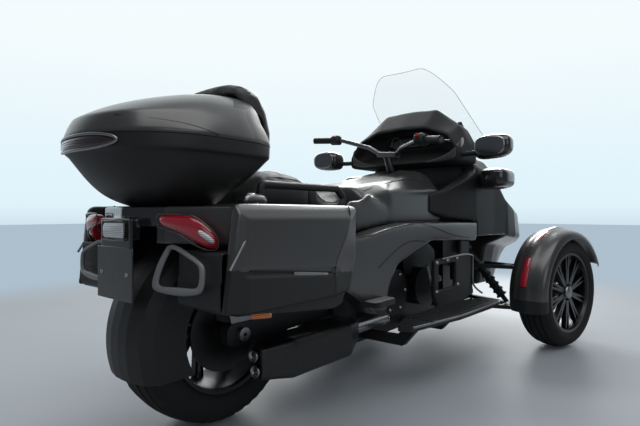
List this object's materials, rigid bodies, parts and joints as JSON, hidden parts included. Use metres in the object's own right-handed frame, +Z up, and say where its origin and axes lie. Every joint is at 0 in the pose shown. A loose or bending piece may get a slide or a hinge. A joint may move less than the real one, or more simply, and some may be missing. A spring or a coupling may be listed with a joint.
{
  "type": "motorized trike",
  "caption": "Touring trike motorcycle: two steered front wheels, one driven rear wheel, tall windscreen, passenger backrest, top case, saddlebags and front trunk.",
  "frame": {"origin": "on the ground under the middle of the whole vehicle's bounding box, as it parks", "axes": "+X forward along the vehicle, +Y to its left, +Z up"},
  "size_m": [2.832, 1.6908, 1.464],
  "materials": {
    "body_paint": "satin",
    "black_plastic": "satin",
    "gloss_black": "gloss",
    "frame_paint": "satin",
    "alloy": "satin",
    "black_alloy": "satin",
    "steel": "brushed",
    "tyre": "matte",
    "grip_rubber": "matte",
    "seat_cover": "matte",
    "red_lens": "gloss",
    "clear_lens": "gloss",
    "screen": "gloss",
    "plate": "satin"
  },
  "bodies": {
    "chassis": {"main_frame": "frame_paint", "engine_block": "black_alloy", "swingarm": "frame_paint", "rear_axle": "steel", "rear_caliper": "alloy", "rear_mudguard": "black_plastic", "muffler": "black_alloy", "exhaust_pipe": "steel", "tail_fairing": "gloss_black", "tail_lamps": "red_lens", "tail_clear_lamp": "clear_lens", "tail_brackets": "alloy", "number_plate": "plate", "saddlebag_tub_right": "black_plastic", "saddlebag_tub_left": "black_plastic", "top_case_tub": "black_plastic", "top_case_lamps": "red_lens", "rider_seat": "seat_cover", "passenger_seat": "seat_cover", "grab_handles": "black_plastic", "tank_cover": "body_paint", "side_fairing_right": "body_paint", "side_fairing_left": "body_paint", "lower_cowls": "black_plastic", "footboards": "black_plastic", "nose_cowl": "body_paint", "front_trunk": "black_plastic", "headlamps": "clear_lens", "front_grille": "black_plastic", "side_wings": "black_plastic", "mirrors": "gloss_black", "dash_console": "black_plastic", "windscreen": "screen", "screen_arms": "black_plastic", "steering_column": "steel", "suspension_arms": "frame_paint", "shocks": "frame_paint"},
    "handlebar": {"handlebar": "black_alloy", "grips": "grip_rubber", "bar_controls": "black_plastic"},
    "knuckle_right": {"knuckle_right": "alloy", "fender_right": "body_paint"},
    "knuckle_left": {"knuckle_left": "alloy", "fender_left": "body_paint"},
    "wheel_front_right": {"tyre_front_right": "tyre", "rim_front_right": "black_alloy"},
    "wheel_front_left": {"tyre_front_left": "tyre", "rim_front_left": "black_alloy"},
    "wheel_rear": {"tyre_rear": "tyre", "rim_rear": "black_alloy"},
    "hood": {"hood": "body_paint"},
    "top_case_lid": {"top_case_lid": "body_paint", "backrest_pad": "seat_cover"},
    "saddlebag_door_right": {"saddlebag_door_right": "body_paint"},
    "saddlebag_door_left": {"saddlebag_door_left": "body_paint"}
  },
  "joints": [
    {"name": "steer", "type": "hinge", "parent": "chassis", "child": "handlebar", "pos_m": [0.182, 0, 0.966], "axis": [-0.454, 0, 0.891], "range_deg": [-13.6, 42.4]},
    {"name": "steer_right", "type": "hinge", "parent": "chassis", "child": "knuckle_right", "pos_m": [0.754, -0.6, 0.281], "axis": [0, 0, 1], "range_deg": [-12.24, 38.16]},
    {"name": "steer_left", "type": "hinge", "parent": "chassis", "child": "knuckle_left", "pos_m": [0.754, 0.6, 0.281], "axis": [0, 0, 1], "range_deg": [-12.24, 38.16]},
    {"name": "spin_right", "type": "hinge", "parent": "knuckle_right", "child": "wheel_front_right", "pos_m": [0.73382, -0.68771, 0.281], "axis": [0.2243, 0.9745, 0], "continuous": true},
    {"name": "spin_left", "type": "hinge", "parent": "knuckle_left", "child": "wheel_front_left", "pos_m": [0.77418, 0.68771, 0.281], "axis": [0.2243, 0.9745, 0], "continuous": true},
    {"name": "spin_rear", "type": "hinge", "parent": "chassis", "child": "wheel_rear", "pos_m": [-0.96, 0, 0.303], "axis": [0, 1, 0], "continuous": true},
    {"name": "trunk_hood", "type": "hinge", "parent": "chassis", "child": "hood", "pos_m": [1.358, 0, 0.69], "axis": [0, 1, 0], "range_deg": [0, 50]},
    {"name": "case_lid", "type": "hinge", "parent": "chassis", "child": "top_case_lid", "pos_m": [-0.867, 0, 0.897], "axis": [0, 1, 0], "range_deg": [0, 60]},
    {"name": "bag_door_right", "type": "hinge", "parent": "chassis", "child": "saddlebag_door_right", "pos_m": [-0.95, -0.432, 0.436], "axis": [1, 0, 0], "range_deg": [0, 75]},
    {"name": "bag_door_left", "type": "hinge", "parent": "chassis", "child": "saddlebag_door_left", "pos_m": [-0.95, 0.432, 0.436], "axis": [-1, 0, 0], "range_deg": [0, 75]}
  ],
  "couplings": [
    {"joint": "steer_right", "follows": "steer", "ratio": 0.9},
    {"joint": "steer_left", "follows": "steer", "ratio": 0.9}
  ]
}
